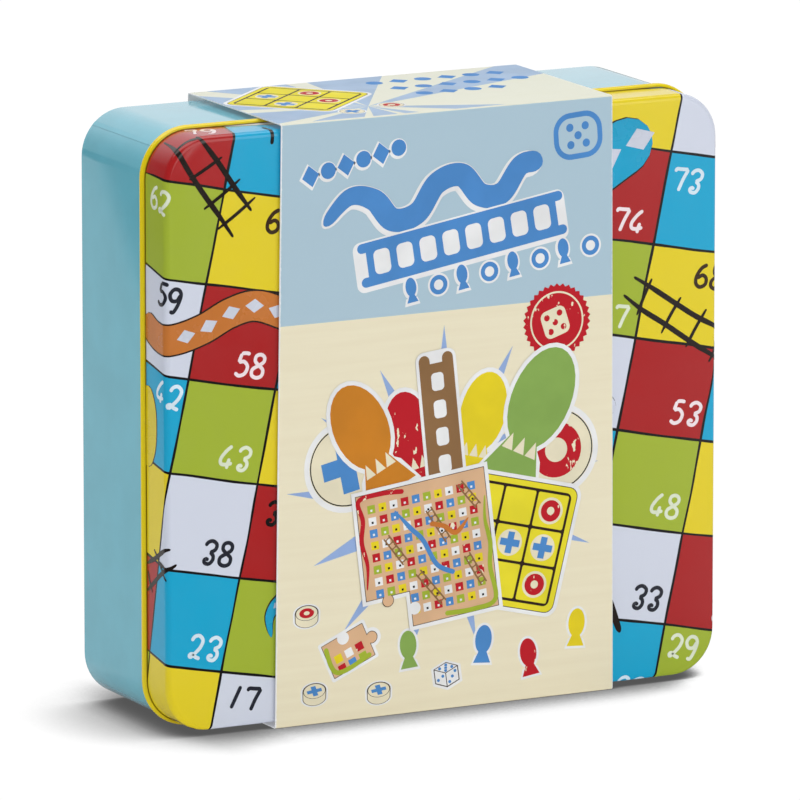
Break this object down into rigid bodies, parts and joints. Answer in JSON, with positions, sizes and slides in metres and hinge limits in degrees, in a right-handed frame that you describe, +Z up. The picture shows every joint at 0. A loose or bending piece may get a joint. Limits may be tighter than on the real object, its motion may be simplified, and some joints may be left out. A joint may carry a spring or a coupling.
{
  "type": "snakes and ladders game set",
  "caption": "Square slip-lid tin on its edge in an open-ended card sleeve, with a jigsaw snakes and ladders board, tic-tac-toe board, counters, pawns and die in a tray.",
  "frame": {"origin": "on the table, under the middle of the card sleeve's bottom panel", "axes": "+Z up with the tin standing on one edge, -Y forward out of the lid's face, +X to the right when facing the lid"},
  "size_m": [0.2024, 0.0674, 0.1971],
  "materials": {
    "body_blue": "glossy varnished tinplate",
    "base_plate": "satin lacquered tinplate",
    "lid_print": "glossy varnished print on tinplate",
    "lid_bead": "glossy varnished tinplate",
    "lid_ink": "glossy varnished ink",
    "sleeve_card": "matt printed card, white inside",
    "sleeve_ink": "matt ink on card",
    "tray_plastic": "glossy formed sheet",
    "board_wood": "plywood with a printed face",
    "yellow_board": "painted plywood",
    "noughts_wood": "natural wood, painted mark",
    "crosses_wood": "natural wood, painted mark",
    "green_pawn": "painted gloss",
    "yellow_pawn": "painted gloss",
    "blue_pawn": "painted gloss",
    "red_pawn": "painted gloss",
    "die_wood": "natural wood, painted pips",
    "leaflet_paper": "matt paper"
  },
  "bodies": {
    "tin": {"tin_body": "body_blue", "tin_base_plate": "base_plate", "inner_tray": "tray_plastic", "board_piece_1": "board_wood", "board_piece_2": "board_wood", "board_piece_3": "board_wood", "board_piece_4": "board_wood", "board_piece_5": "board_wood", "board_piece_6": "board_wood", "board_piece_7": "board_wood", "board_piece_8": "board_wood", "board_piece_9": "board_wood", "board_piece_10": "board_wood", "board_piece_11": "board_wood", "board_piece_12": "board_wood", "tic_tac_toe_board": "yellow_board", "noughts_counter_1": "noughts_wood", "noughts_counter_2": "noughts_wood", "noughts_counter_3": "noughts_wood", "noughts_counter_4": "noughts_wood", "noughts_counter_5": "noughts_wood", "crosses_counter_1": "crosses_wood", "crosses_counter_2": "crosses_wood", "crosses_counter_3": "crosses_wood", "crosses_counter_4": "crosses_wood", "crosses_counter_5": "crosses_wood", "green_pawn": "green_pawn", "yellow_pawn": "yellow_pawn", "blue_pawn": "blue_pawn", "red_pawn": "red_pawn", "die": "die_wood", "rules_leaflet": "leaflet_paper"},
    "lid": {"tin_lid": "lid_print"},
    "sleeve": {"card_sleeve": "sleeve_card"}
  },
  "joints": [
    {"name": "sleeve_slide", "type": "slide", "parent": "tin", "child": "sleeve", "axis": [1, 0, 0], "range_m": [-0.166, 0.166]},
    {"name": "lid_lift", "type": "slide", "parent": "tin", "child": "lid", "axis": [0, -1, 0], "range_m": [0, 0.0008]}
  ]
}
